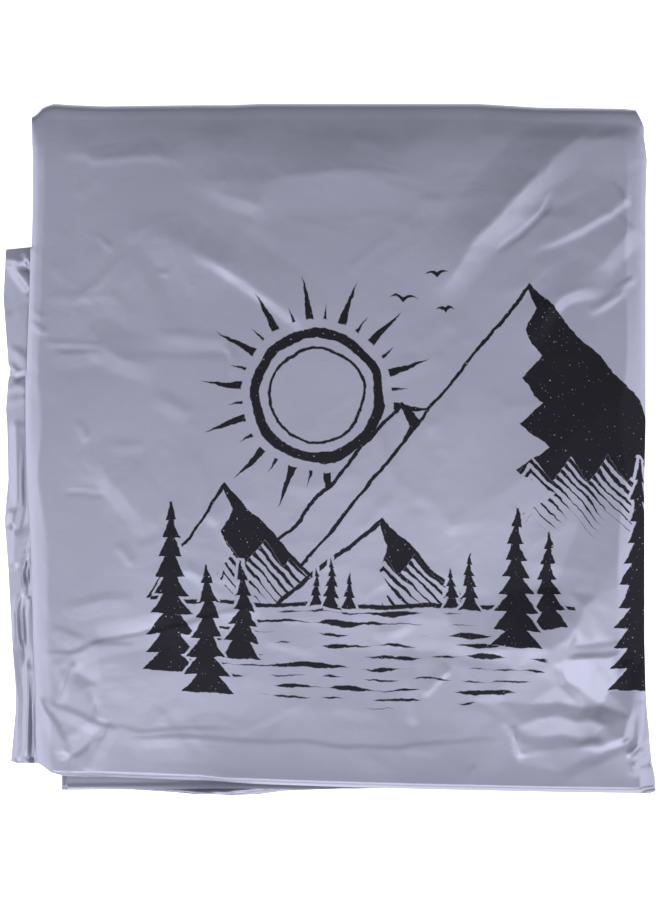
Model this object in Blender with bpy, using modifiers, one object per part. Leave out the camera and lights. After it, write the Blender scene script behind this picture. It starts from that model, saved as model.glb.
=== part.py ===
"""Bicycle cover of thin plastic film, folded flat and lying on a surface.

The cover, laid out, is one sheet: its two walls lie together. It is folded in two along its length and in
two again, which makes a packet of four layers, and the packet is folded once across. The fold across lies at
+Y, the hems lie at -Y, and the ends of the sheet stick out past the folds at -X.

Metres, +Z up. The origin is on the surface, under the middle of the folded cover.
"""

import math

import bpy

MM = 0.001

SHEET = 1.0 * MM         # both walls of film, with the air between them
PITCH = 2.0 * MM         # from one layer to the next
PACKET_LAYERS = 4
MIDDLE_Z = PACKET_LAYERS * PITCH + SHEET / 2 - PITCH / 2
RESTING = 0.2 * MM       # the lowest layer lies on the surface wherever it comes this near to it

# How far each fold rounds out, across the layers that it joins.
RIGHT_FOLD_DEPTH = 9.0 * MM
LEFT_FOLD_DEPTH = 5.0 * MM
TOP_FOLD_DEPTH = 5.0 * MM

# Outline across the packet, from the fold at the top down to the hem, in millimetres.
#   y, left fold, free ends, right fold
SECTIONS = (
    (281, -235, -233, 252),
    (273, -242, -240, 250),
    (258, -241, -239, 253),
    (235, -240, -238, 256),
    (200, -240, -238, 255),
    (163, -241, -239, 255),
    (160, -242, -262, 255),
    (122, -243, -264, 255),
    (97, -244, -262, 255),
    (63, -245, -258, 255),
    (53, -246, -261, 255),
    (20, -246, -260, 255),
    (-24, -245, -260, 254),
    (-57, -243, -263, 254),
    (-97, -241, -260, 254),
    (-154, -240, -257, 254),
    (-194, -238, -254, 255),
    (-231, -238, -256, 258),
    (-252, -237, -258, 259),
    (-256, -236, -240, 261),
    (-264, -233, -231, 262.5),
    (-276, -231, -229, 263.3),
)

# The fold at the top and the hems of both packets, from left to right, in millimetres.
#   x, top fold, upper hem, lower hem
EDGES = (
    (-243, 270, -253, -275),
    (-236, 277, -260, -275),
    (-227, 280, -263, -275),
    (-212, 279, -264, -275),
    (-186, 278, -264, -275),
    (-106, 279, -267, -280),
    (-81, 279, -269, -279),
    (-57, 280, -270, -276),
    (0, 280, -272, -274),
    (72, 280, -274, -272),
    (121, 280, -275, -272),
    (170, 277, -276, -272),
    (239, 276, -277, -273),
    (250, 275, -277, -273),
    (255, 262, -275, -271),
    (264, 258, -274, -270),
)

# The lower packet's corner at the left end of its hem is drawn in as far as this, and its free ends lie
# a little inside the upper ones, in millimetres.
LOWER_CORNER_X = -217.0
LOWER_FREE_INSET = 1.5

# Air under the upper layers: its height inside the panel, and the way over which it fades out to the rim.
SWELL = 4.5 * MM
SWELL_SIDE_RIM = 100.0 * MM
SWELL_TOP_RIM = 65.0 * MM
SWELL_HEM_RIM = 80.0 * MM

# Ridges and troughs of the top layer, in millimetres.
#   x and y of one end, x and y of the other end, height, half width
CREASES = (
    (-203, 237, -126, 231, 1.8, 13),     # short ridge under the top fold
    (-154, 168, -101, 156, 2.8, 14),     # long slanting ridge, upper part
    (-101, 156, -22, 99, 3.4, 15),       # long slanting ridge, lower part
    (-112, 128, -58, 92, -0.6, 13),      # hollow under the long ridge
    (246, 268, 170, 219, 2.0, 17),       # band from the top right corner
    (170, 219, 105, 142, 3.0, 18),       # the band's lower part
    (238, 198, 162, 162, 1.9, 13),       # thin ridge at the right
    (235, 130, 170, 98, 1.6, 13),        # thin ridge below it
    (-227, -160, -110, -136, 2.0, 13),   # crease above the hem, left part
    (40, -154, 255, -153, 2.0, 15),      # crease above the hem, right part
    (186, -168, 222, -202, 3.8, 16),     # crumple in the lower right corner
    (228, -176, 226, -216, -0.6, 12),    # hollow beside the crumple
    (120, -220, 200, -224, 2.8, 15),     # swelling under the crumple
    (170, -262, 235, -232, 2.0, 13),     # crease that runs out of the corner
    (-214, -250, -186, -226, 2.8, 14),   # small folded corner at the lower left
    (-180, -229, 140, -236, 1.2, 13),    # line of the hem
    (-190, 84, -130, 64, 1.5, 14),       # low swelling at the left
)

# Waves of the free ends, which are gathered: height, and how many of them from top to bottom.
GATHER = 1.6 * MM
GATHER_WAVES = 7

# Runs of the sheet through one packet, from one free end to the other.
#   form, start side, end side, start level, end level, steps
RUNS = (
    ("flat", "free", "left", 0, 0, 2),
    ("flat", "left", "right", 0, 0, 7),
    ("bend", "right", "right", 0, 3, 4),
    ("flat", "right", "left", 3, 3, 30),
    ("bend", "left", "left", 3, 2, 3),
    ("flat", "left", "right", 2, 2, 8),
    ("bend", "right", "right", 2, 1, 3),
    ("flat", "right", "left", 1, 1, 7),
    ("flat", "left", "free", 1, 1, 2),
)

# Rows of points across the runs, and the places along the packet where rows stand close together:
# where the free ends begin to stick out, and where the lower packet's corner is drawn in.
LOWER_ROWS = 9
FOLD_ROWS = 5
UPPER_ROWS = 31
NOTCH = (160.0, 163.0)
LOWER_CORNER = (-262.0, -252.0)


def smooth(t):
    """Ease from 0 to 1 for t from 0 to 1."""
    t = min(max(t, 0.0), 1.0)
    return t * t * (3 - 2 * t)


def look_up(rows, at, column):
    """Read one column of a table, in metres, between the two rows around a place in its first column."""
    rows = sorted(rows)
    at = min(max(at / MM, rows[0][0]), rows[-1][0])
    for low, high in zip(rows, rows[1:]):
        if at <= high[0]:
            share = (at - low[0]) / (high[0] - low[0])
            return (low[column] + share * (high[column] - low[column])) * MM
    return rows[-1][column] * MM


def ridge_lift(x, y):
    """Height of all the ridges and troughs of the top layer at one place."""
    lift = 0.0
    for x0, y0, x1, y1, height, half_width in CREASES:
        along_x, along_y = x1 - x0, y1 - y0
        length = math.hypot(along_x, along_y)
        px, py = x / MM - x0, y / MM - y0
        along = (px * along_x + py * along_y) / length
        across = abs(px * along_y - py * along_x) / length
        past_end = max(-along, along - length, 0.0)
        lift += height * smooth(1 - math.hypot(across, past_end) / (1.5 * half_width))
    return lift * MM


def swell_lift(x, y):
    """Height of the air under the top layer, which fades out towards the rim."""
    left = smooth((x - look_up(SECTIONS, y, 1)) / SWELL_SIDE_RIM)
    right = smooth((look_up(SECTIONS, y, 3) - x) / SWELL_SIDE_RIM)
    top = smooth((look_up(EDGES, x, 1) - y) / SWELL_TOP_RIM)
    hem = smooth((y - look_up(EDGES, x, 2)) / SWELL_HEM_RIM)
    return SWELL * left * right * top * hem


def gather_lift(x, y):
    """Height of the waves of the free ends, left of the folds."""
    out = smooth((look_up(SECTIONS, y, 1) - x) / (12 * MM))
    span = (y / MM - SECTIONS[-1][0]) / (SECTIONS[0][0] - SECTIONS[-1][0])
    wave = math.sin(2 * math.pi * GATHER_WAVES * span + 1.2 * math.sin(9 * span))
    return GATHER * out * 0.5 * (1 + wave)


def side_x(side, y, is_lower):
    """Where a layer reaches on one side of the packet, at one place along it."""
    if side == "right":
        return look_up(SECTIONS, y, 3)
    x = look_up(SECTIONS, y, 2 if side == "free" else 1)
    if not is_lower:
        return x
    if side == "free":
        x += LOWER_FREE_INSET * MM
    bottom, top = LOWER_CORNER
    drawn_in = smooth((top - y / MM) / (top - bottom))
    return max(x, x + (LOWER_CORNER_X * MM - x) * drawn_in)


def fold_depth(side):
    """How far the fold on one side rounds out."""
    return RIGHT_FOLD_DEPTH if side == "right" else LEFT_FOLD_DEPTH


def section_point(run, t, y, is_lower):
    """Place in the packet's cross-section: x, and the level counted in layers."""
    form, start, end, start_level, end_level, _ = run
    if form == "flat":
        x_start = side_x(start, y, is_lower)
        x_end = side_x(end, y, is_lower)
        x_start += inward(start, start_level)
        x_end += inward(end, end_level)
        return x_start + (x_end - x_start) * t, start_level
    middle = (start_level + end_level) / 2
    reach = (abs(end_level - start_level) - 1) / 2
    outermost = 1 if start == "left" else (PACKET_LAYERS - 2) / 2
    nested = (outermost - reach) * PITCH if start == "right" else 0.0
    depth = fold_depth(start) - nested
    sign = 1 if start == "right" else -1
    centre = side_x(start, y, is_lower) - sign * fold_depth(start)
    angle = math.pi * (t - 0.5)
    level = middle + (end_level - start_level) / 2 * math.sin(angle)
    return centre + sign * depth * math.cos(angle), level


def inward(side, level):
    """How far a flat run stops short of a side, where a fold takes over."""
    if side == "free":
        return (1 - level) * 1.0 * MM
    return -RIGHT_FOLD_DEPTH if side == "right" else LEFT_FOLD_DEPTH


def layer_share(is_lower, level):
    """Share of the air's lift that a layer takes: all at the top, none at the bottom."""
    height = PACKET_LAYERS - 1 - level if is_lower else PACKET_LAYERS + level
    return height / (2 * PACKET_LAYERS - 1)


def fold_start(x):
    """Where the flat part of each layer ends and the fold across begins."""
    return look_up(EDGES, x, 1) - TOP_FOLD_DEPTH - (PACKET_LAYERS - 1) * PITCH


def row_shares(count, close_rows, hem):
    """Shares of the way from a hem to the fold across, evenly spaced but for the rows close together."""
    shares = [row / count for row in range(count)]
    top = fold_start(EDGES[0][0] * MM) / MM
    shares += [(y - hem) / (top - hem) for y in close_rows]
    return sorted(shares)


def all_rows():
    """Each row across the sheet: the part of the fold across it lies in, and how far along that part."""
    upper_hem, lower_hem = EDGES[0][2:]
    rows = [("lower", share) for share in row_shares(LOWER_ROWS, LOWER_CORNER + NOTCH, lower_hem)]
    rows += [("fold", row / FOLD_ROWS) for row in range(FOLD_ROWS + 1)]
    rows += [("upper", 1 - share) for share in reversed(row_shares(UPPER_ROWS, NOTCH, upper_hem))]
    return rows


def folded_point(run, t, part, along):
    """Place of one point of the sheet once it is folded."""
    is_lower = part == "lower" or (part == "fold" and along < 0.5)
    nominal_x = section_point(run, t, 0.0, False)[0]
    top = fold_start(nominal_x)
    if part == "fold":
        y_flat = top
    else:
        hem = look_up(EDGES, nominal_x, 3 if is_lower else 2)
        share = along if is_lower else 1 - along
        y_flat = hem + (top - hem) * share
    x, level = section_point(run, t, y_flat, is_lower)
    angle = math.pi * (along - 0.5) if part == "fold" else (-math.pi / 2 if is_lower else math.pi / 2)
    half_height = (level + 0.5) * PITCH
    y = y_flat
    if part == "fold":
        y += (TOP_FOLD_DEPTH + level * PITCH) * math.cos(angle)
    z = MIDDLE_Z + half_height * math.sin(angle)
    share = layer_share(is_lower, level)
    z += swell_lift(x, y) * share + gather_lift(x, y) * share
    if part == "upper":
        z += ridge_lift(x, y) * smooth(level - 2) * smooth((top - y) / (20 * MM))
    return x, y, z


def folded_sheet(name):
    """One sheet whose points are carried to their places in the folded cover."""
    columns = [(run, step / run[5]) for run in RUNS for step in range(run[5])]
    columns.append((RUNS[-1], 1.0))
    rows = all_rows()
    bpy.ops.mesh.primitive_grid_add(
        x_subdivisions=len(columns) - 1, y_subdivisions=len(rows) - 1, size=1)
    sheet = bpy.context.object
    sheet.name = name
    for index, vertex in enumerate(sheet.data.vertices):
        row, column = divmod(index, len(columns))
        vertex.co = folded_point(*columns[column], *rows[row])
    sheet.data.update()
    thickness = sheet.modifiers.new("Film", "SOLIDIFY")
    thickness.thickness = SHEET
    thickness.offset = 0
    bpy.ops.object.modifier_apply(modifier=thickness.name)
    settle_on_surface(sheet.data)
    return sheet


def settle_on_surface(mesh):
    """Lay flat on the surface every point that comes down to it."""
    for vertex in mesh.vertices:
        if vertex.co.z < RESTING:
            vertex.co.z = 0.0


def film_material():
    """Silver-grey plastic film with a soft gloss."""
    material = bpy.data.materials.new("silver film")
    material.use_nodes = True
    surface = material.node_tree.nodes["Principled BSDF"]
    surface.inputs["Base Color"].default_value = (0.30, 0.30, 0.39, 1.0)
    surface.inputs["Roughness"].default_value = 0.4
    surface.inputs["Metallic"].default_value = 0.0
    return material


def main():
    for item in list(bpy.data.objects):
        bpy.data.objects.remove(item)
    collection = bpy.data.collections.new("Bicycle cover")
    bpy.context.scene.collection.children.link(collection)
    cover = folded_sheet("cover")
    cover.data.materials.append(film_material())
    cover.data.shade_smooth()
    for holder in list(cover.users_collection):
        holder.objects.unlink(cover)
    collection.objects.link(cover)


main()
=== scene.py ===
"""Looks of the folded bicycle cover: thin silver-grey film with its folds, creases and black print."""

import math

import bpy
import numpy as np
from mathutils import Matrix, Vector, noise
from mathutils.geometry import delaunay_2d_cdt


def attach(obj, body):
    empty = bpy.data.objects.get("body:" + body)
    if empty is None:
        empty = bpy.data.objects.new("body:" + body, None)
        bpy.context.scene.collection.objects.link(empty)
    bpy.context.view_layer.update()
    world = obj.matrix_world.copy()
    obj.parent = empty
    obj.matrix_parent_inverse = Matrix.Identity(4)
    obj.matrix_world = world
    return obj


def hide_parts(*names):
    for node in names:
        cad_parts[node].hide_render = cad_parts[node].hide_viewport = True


MM = 0.001

# The folded cover. Layers are counted outwards from the middle of the fold across.
SHEET = 1.0 * MM
PITCH = 2.0 * MM
PACKET_LAYERS = 4
MIDDLE_Z = PACKET_LAYERS * PITCH + SHEET / 2 - PITCH / 2
FOLD_DEPTH = {"right": 9.0 * MM, "left": 5.0 * MM}
TOP_FOLD_DEPTH = 5.0 * MM
TOP_FOLD_REACH = TOP_FOLD_DEPTH + (PACKET_LAYERS - 1) * PITCH
FOLD_POWER = 0.55

# Creases and print are placed on a plan of the cover seen from above: steps to the right and down.
PLAN_STEP = 0.81 * MM
PLAN_CENTRE = (330.5, 450.0)

# Outline across the packet in millimetres: y, left fold, free ends, right fold.
LEFT_FOLD, FREE_ENDS, RIGHT_FOLD = 1, 2, 3
SECTIONS = np.array((
    (281, -235, -233, 252),
    (273, -242, -240, 250),
    (258, -241, -239, 253),
    (235, -240, -238, 256),
    (200, -240, -238, 255),
    (162.4, -241, -239, 255),
    (162.2, -242, -262, 255),
    (122, -243, -264, 255),
    (97, -244, -262, 255),
    (69, -245, -260, 255),
    (63, -245, -257, 255),
    (58, -246, -260, 255),
    (33, -246, -262, 255),
    (20, -246, -261, 255),
    (-24, -245, -260, 254),
    (-57, -243, -263, 254),
    (-97, -241, -260, 254),
    (-154, -240, -257, 254),
    (-194, -238, -254, 255),
    (-210, -238, -254, 256),
    (-231, -238, -256, 258),
    (-252, -237, -258, 259),
    (-256, -236, -240, 261),
    (-264, -233, -231, 262.5),
    (-276, -231, -229, 263.3),
))

# Edges from left to right in millimetres: x, top fold, upper hem, lower hem.
TOP_FOLD, UPPER_HEM, LOWER_HEM = 1, 2, 3
EDGES = np.array((
    (-243, 270, -253, -275),
    (-236, 277, -260, -275),
    (-227, 280, -263, -275),
    (-212, 279, -264, -275),
    (-186, 278, -264, -275),
    (-106, 279, -267, -280),
    (-81, 279, -269, -279),
    (-57, 280, -270, -276),
    (0, 280, -272, -274),
    (72, 280, -274, -272),
    (121, 280, -275, -272),
    (170, 277, -276, -272),
    (239, 276, -277, -273),
    (250, 275, -277, -273),
    (255, 262, -275, -271),
    (264, 258, -274, -270),
))
# The lower packet's left corner: the stretch of y in which it is cut back, and how far. Its free ends lie a
# little under those of the upper packet, and each layer's end stops short of the next one's.
LOWER_CORNER = (-262.0 * MM, -252.0 * MM)
LOWER_CORNER_X = -217.0 * MM
LOWER_FREE_INSET = 1.5 * MM
FREE_STAGGER = 1.0 * MM

# Air under the top layer: its height, and the way over which it fades out to each edge. A strip along the
# hem stays flat. The hem's two values are those on the left and on the right of the stretch of x given last.
SWELL = 5.5 * MM
SWELL_SIDE_RIM = 150.0 * MM
SWELL_TOP_RIM = 145.0 * MM
SWELL_HEM_RIM = (180.0 * MM, 340.0 * MM)
SWELL_HEM_FLAT = (12.0 * MM, 62.0 * MM)
SWELL_HEM_CHANGE = (-150.0 * MM, -30.0 * MM)

# The top layer stands above its rolled rims: by how much, how much less in the upper part, how much deeper
# the right rim lies, the form of the left one, how uneven both are, and the widths of the rims.
ROLL = 2.6 * MM
ROLL_FADE = 0.35
ROLL_FADE_Y = 130.0 * MM
ROLL_RIGHT = 1.45
ROLL_LEFT_POWER = 0.8
ROLL_UNEVEN = 0.16
ROLL_WAVES = (31.0 * MM, 53.0 * MM)
ROLL_WAVE_SHIFT = 2.0
ROLL_WIDTH = {"left": 12.0 * MM, "right": 19.0 * MM, "top": 34.0 * MM, "hem": 4.0 * MM}

# Runs of the sheet through a packet: form, start side, end side, start level, end level, steps.
RUNS = (
    ("flat", "free", "left", 0, 0, 5),
    ("flat", "left", "right", 0, 0, 4),
    ("bend", "right", "right", 0, 3, 12),
    ("flat", "right", "left", 3, 3, 263),
    ("bend", "left", "left", 3, 2, 7),
    ("flat", "left", "right", 2, 2, 4),
    ("bend", "right", "right", 2, 1, 5),
    ("flat", "right", "left", 1, 1, 4),
    ("flat", "left", "free", 1, 1, 13),
)

# Rows across the sheet, in three parts. In each packet they are stretches of the way between the hem, at 0,
# and the top fold, at 1, with their steps.
LOWER_PART, FOLD_PART, UPPER_PART = range(3)
HEM_STRIP = 0.03
LOWER_ROWS = ((0.0, HEM_STRIP, 12), (HEM_STRIP, 1.0, 11))
FOLD_STEPS = 12
UPPER_ROWS = ((1.0, 0.42, 138), (0.42, HEM_STRIP, 128), (HEM_STRIP, 0.0, 12))

# Creases of the top layer, on the plan. Going from the first point to the last: the width of the left and of
# the right flank, the fade past the ends, the sharpness of the crest, and the points: x, y and the height of
# the crest in millimetres.
CREASES = (
    # wide dip over the hem
    (150, 80, 60, 1.0, ((285, 652, 0.0), (345, 649, -1.7), (430, 650, -2.0), (505, 656, 0.0))),
    # upper left
    (14, 6, 8, 1.1, ((70, 156, 0.2), (88, 157, 0.5), (94, 161, 0.6), (138, 159, 0.5), (158, 158, 0.6),
                     (180, 164, 0.2))),
    (42, 40, 16, 1.35, ((218, 128, 0.3), (219, 150, 0.8), (221, 182, 0.9))),
    (36, 13, 8, 1.1, ((204, 189, 0.2), (224, 194, 0.9), (240, 200, 1.3), (258, 207, 1.1),
                      (270, 216, 0.2))),
    (46, 42, 18, 1.35, ((252, 190, 0.5), (285, 178, 1.7), (335, 172, 2.1), (385, 174, 1.6),
                        (420, 178, 0.5))),
    (28, 36, 10, 1.0, ((138, 241, 0.4), (170, 240, 0.9), (200, 255, 0.9), (226, 268, 0.5))),
    (40, 10, 6, 1.0, ((200, 255, 0.3), (222, 266, 1.2), (244, 282, 1.6), (262, 294, 1.6), (283, 308, 1.4),
                      (298, 320, 1.0), (308, 334, 0.1))),
    (24, 16, 10, 1.0, ((140, 244, -0.5), (158, 268, -0.9), (170, 300, -0.6), (176, 325, -0.2))),
    (4, 4, 3, 1.0, ((160, 275, 0.4), (168, 275, 0.4))),
    (6, 10, 6, 1.1, ((55, 297, 0.15), (90, 297, 0.3), (118, 296, 0.2))),
    (8, 8, 8, 1.1, ((78, 300, 0.2), (105, 278, 0.4), (122, 262, 0.2))),
    (4, 6, 4, 1.2, ((100, 236, 0.3), (112, 247, 0.6))),
    (4, 6, 4, 1.2, ((34, 322, 0.3), (46, 332, 0.7))),
    (4, 4, 4, 1.2, ((33, 312, 0.3), (44, 318, 0.4))),
    # middle left
    (26, 18, 10, 1.0, ((96, 334, 0.5), (104, 346, 1.1), (122, 358, 1.3), (152, 368, 0.6))),
    (12, 7, 6, 1.0, ((114, 352, -0.1), (150, 353, -0.3), (195, 353, -0.4), (228, 353, -0.5))),
    (8, 5, 4, 1.0, ((229, 348, 0.6), (235, 358, 0.7), (233, 373, 0.3))),
    (6, 10, 8, 1.0, ((166, 333, 0.2), (184, 334, 0.4), (224, 340, 0.2))),
    (5, 6, 8, 1.1, ((52, 344, 0.35), (96, 346, 0.4))),
    (4, 5, 6, 1.0, ((62, 349, -0.4), (96, 349, -0.4))),
    (8, 14, 8, 1.0, ((60, 356, 0.3), (96, 352, 0.6))),
    (10, 13, 8, 1.0, ((156, 396, 0.2), (172, 403, 0.7), (186, 412, 0.5))),
    (6, 7, 5, 1.1, ((80, 424, 0.3), (88, 437, 0.5))),
    (3, 3, 4, 1.1, ((70, 494, -0.4), (102, 494, -0.4))),
    (36, 14, 12, 1.0, ((98, 456, 0.3), (110, 478, 0.9), (124, 494, 1.1), (145, 524, 0.4))),
    (8, 7, 6, 1.1, ((120, 547, 0.3), (132, 561, 0.4))),
    # upper right
    (42, 24, 16, 1.35, ((438, 294, 0.3), (456, 268, 2.4), (476, 240, 3.6), (496, 219, 3.9), (514, 198, 3.8),
                       (536, 177, 2.9), (556, 158, 2.1), (580, 136, 1.3), (598, 124, 0.4))),
    (4, 6, 5, 1.0, ((500, 250, -0.5), (521, 233, -0.9), (541, 213, -1.0), (549, 200, -0.6))),
    (12, 44, 10, 1.35, ((590, 144, 0.4), (604, 138, 1.1), (632, 128, 1.1))),
    (28, 7, 6, 1.0, ((532, 249, 0.3), (552, 243, 0.9), (570, 234, 1.3), (590, 223, 1.5), (606, 215, 1.5),
                     (624, 202, 1.1))),
    (30, 17, 8, 1.0, ((586, 279, 0.3), (603, 262, 1.5), (616, 245, 1.7), (628, 230, 0.9))),
    (28, 11, 10, 1.0, ((530, 348, 0.2), (538, 330, 1.1), (548, 312, 1.7), (560, 298, 1.8), (580, 290, 1.6),
                      (606, 289, 0.4))),
    (8, 6, 4, 1.0, ((592, 312, 0.6), (605, 303, 1.2), (621, 293, 0.9))),
    (4, 4, 3, 1.0, ((616, 288, 0.6), (632, 282, 0.7))),
    (16, 14, 12, 1.0, ((500, 296, 0.2), (530, 282, 0.7), (556, 262, 0.4))),
    (4, 7, 4, 1.0, ((564, 112, 1.0), (586, 111, 1.0))),
    (60, 50, 30, 1.35, ((455, 520, 0.4), (540, 470, 0.9), (610, 400, 0.6))),
    # lower right
    (9, 8, 6, 1.0, ((634, 770, 0.7), (633, 752, 1.7), (640, 730, 1.8), (645, 706, 1.0))),
    (4, 5, 3, 1.0, ((628, 752, 1.0), (640, 744, 1.0))),
    (4, 4, 3, 1.0, ((634, 764, 0.9), (644, 756, 0.9))),
    (5, 5, 4, 1.0, ((640, 788, 0.8), (640, 768, 0.7))),
    (4, 6, 4, 1.0, ((514, 728, 0.5), (517, 739, 0.9), (521, 752, 0.6))),
    (3, 3, 4, 1.1, ((470, 780, 0.4), (473, 768, 0.8))),
    # bottom
    (12, 9, 12, 1.0, ((400, 650, -0.1), (470, 657, -0.4), (502, 660, -0.2))),
    (12, 4, 6, 1.0, ((429, 692, 0.5), (447, 672, 0.9))),
    (8, 8, 10, 1.0, ((410, 655, 0.4), (413, 690, 0.9), (413, 716, 0.5))),
    (3.5, 16, 14, 1.0, ((122, 727, 0.2), (145, 730, 0.4), (200, 729, 0.35), (230, 730, 0.15))),
    (3.5, 24, 14, 1.0, ((146, 736, 0.3), (185, 736, 0.5), (210, 739, 0.4), (240, 743, 0.4), (300, 743, 0.4),
                        (340, 746, 0.5), (400, 748, 0.5), (436, 743, 0.4), (490, 739, 0.2))),
    # lower left
    (3, 16, 6, 1.0, ((48, 652, 0.2), (72, 654, 0.5), (84, 651, 0.6), (100, 643, 0.6), (112, 640, 0.6),
                     (140, 635, 0.6), (160, 631, 0.6), (190, 623, 0.5), (215, 616, 0.4), (256, 606, 0.2))),
    (22, 44, 10, 1.35, ((104, 642, -0.6), (135, 637, -1.2), (165, 630, -0.9))),
    (34, 12, 6, 1.0, ((101, 646, 0.7), (101, 664, 0.7), (104, 682, 0.2))),
    (6, 14, 6, 1.0, ((58, 629, 0.3), (70, 633, 0.4), (80, 639, 0.3))),
    (8, 14, 10, 1.0, ((72, 606, 0.2), (95, 603, 0.5), (128, 597, 0.2))),
    (5, 8, 5, 1.0, ((61, 698, 0.4), (67, 684, 0.8), (75, 667, 0.6))),
    (10, 10, 6, 1.0, ((80, 672, -0.5), (96, 680, -0.6))),
    (5, 7, 5, 1.0, ((94, 690, -0.6), (97, 704, -1.0), (94, 716, -0.4))),
    (4, 12, 6, 1.0, ((42, 700, 0.4), (52, 716, 0.8), (60, 732, 0.8), (69, 752, 0.6))),
    (5, 12, 6, 1.0, ((42, 698, 0.2), (60, 706, 0.35), (80, 714, 0.45), (98, 724, 0.45))),
    (14, 9, 4, 1.0, ((107, 726, 0.9), (99, 748, 1.0), (91, 767, 0.5))),
    (4, 18, 4, 1.0, ((107, 724, -0.6), (101, 735, -0.9), (88, 746, -0.9), (73, 755, -0.8), (70, 772, -0.4))),
)

# The crumple at the lower right: lines of its ridges and valleys, with flat facets between them. Each point
# is x, y and height as above, and a line that starts where another one ends shares its point.
CRUMPLE = (
    # edge
    ((432, 600, 0.0), (470, 545, 0.0), (530, 500, 0.0), (590, 490, 0.0), (636, 520, 0.0), (641, 600, 0.0),
     (642, 660, -0.3), (642, 700, 0.8), (642, 735, 1.4), (644, 800, 0.4), (600, 800, 0.4), (560, 800, 1.2),
     (520, 800, 0.4), (478, 780, 0.0), (450, 712, 0.0), (436, 660, 0.0), (432, 600, 0.0)),
    # dark hollow above, with a ridge at its foot
    ((436, 660, 0.0), (450, 650, 0.2), (475, 649, 0.8), (500, 650, 1.8), (530, 647, 2.7), (552, 648, 2.9),
     (567, 646, 3.3)),
    ((567, 646, 3.3), (574, 628, 4.2), (583, 606, 4.4), (597, 594, 3.8), (616, 588, 2.4), (641, 600, 0.0)),
    ((500, 594, -0.7), (530, 590, -1.3), (556, 586, -0.9), (568, 591, 0.8), (583, 606, 4.4)),
    # three narrow pleats
    ((567, 646, 3.3), (576, 643, 2.0), (592, 642, 1.6), (610, 640, 1.2), (624, 641, 0.8)),
    ((576, 647, 2.4), (592, 646, 1.9), (612, 645, 1.5), (624, 647, 1.0)),
    ((574, 652, 2.1), (592, 651, 1.7), (612, 650, 1.3), (622, 651, 0.8)),
    # bright facet
    ((625, 656, 0.6), (612, 655, 2.2), (592, 655, 2.9), (578, 656, 3.1), (568, 658, 3.0), (561, 668, 1.8),
     (566, 681, 0.1), (584, 694, -1.8), (601, 704, -3.4), (607, 690, -2.2), (614, 677, -1.0),
     (625, 656, 0.6)),
    ((567, 646, 3.3), (554, 665, 2.4), (559, 682, 1.8), (575, 698, 0.5), (585, 705, -1.4)),
    # dark column at its right
    ((625, 656, 0.6), (635, 661, -1.8), (632, 690, 0.0), (628, 715, 2.6), (621, 736, 4.4), (608, 735, 3.2),
     (606, 725, 1.8), (604, 715, -0.4), (601, 704, -3.4)),
    # middle slope
    ((530, 647, 2.7), (533, 662, 1.7), (536, 676, 1.5)),
    ((503, 666, 1.3), (516, 669, 1.6), (530, 647, 2.7)),
    ((484, 690, 0.9), (498, 691, 1.3)),
    ((470, 700, 0.2), (484, 711, 0.7), (500, 721, 1.2), (515, 729, 1.8)),
    # groove, light slope, groove
    ((488, 703, 0.4), (505, 701, 0.9), (530, 704, 1.0), (560, 702, 0.8), (585, 705, -1.4), (601, 704, -3.4)),
    ((515, 729, 1.8), (523, 722, 2.0), (538, 716, 2.5), (556, 714, 2.4), (574, 719, 1.9), (590, 719, 0.9),
     (606, 725, 1.8)),
    ((526, 733, 1.5), (540, 736, 1.4), (562, 735, 1.1), (582, 739, 0.6), (596, 736, 0.6), (608, 735, 3.2)),
    ((530, 744, 1.8), (548, 748, 2.2), (575, 747, 1.9), (602, 743, 2.6), (621, 736, 4.4)),
    ((510, 738, 1.0), (515, 729, 1.8), (517, 739, 2.2), (521, 752, 1.5), (518, 762, 0.5)),
    # folds towards the corner
    ((560, 771, 1.2), (580, 760, 1.2), (600, 752, 1.3), (622, 742, 2.8), (635, 734, 1.8)),
    ((568, 777, 1.5), (585, 767, 1.9), (604, 758, 2.3), (624, 748, 3.2), (636, 740, 2.2)),
    ((604, 758, 2.3), (611, 770, 1.8), (600, 800, 0.4)),
)
CRUMPLE_SOFTNESS = 1.5 * MM

# How creases wander: size, amount and level of the noise. They fade out towards the top fold.
NOISE_SEED = 1
CREASE_WARPS = ((34.0 * MM, 2.2 * MM, 3.0), (9.0 * MM, 0.7 * MM, 8.0))
CREASE_FADE = 16.0 * MM

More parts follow.
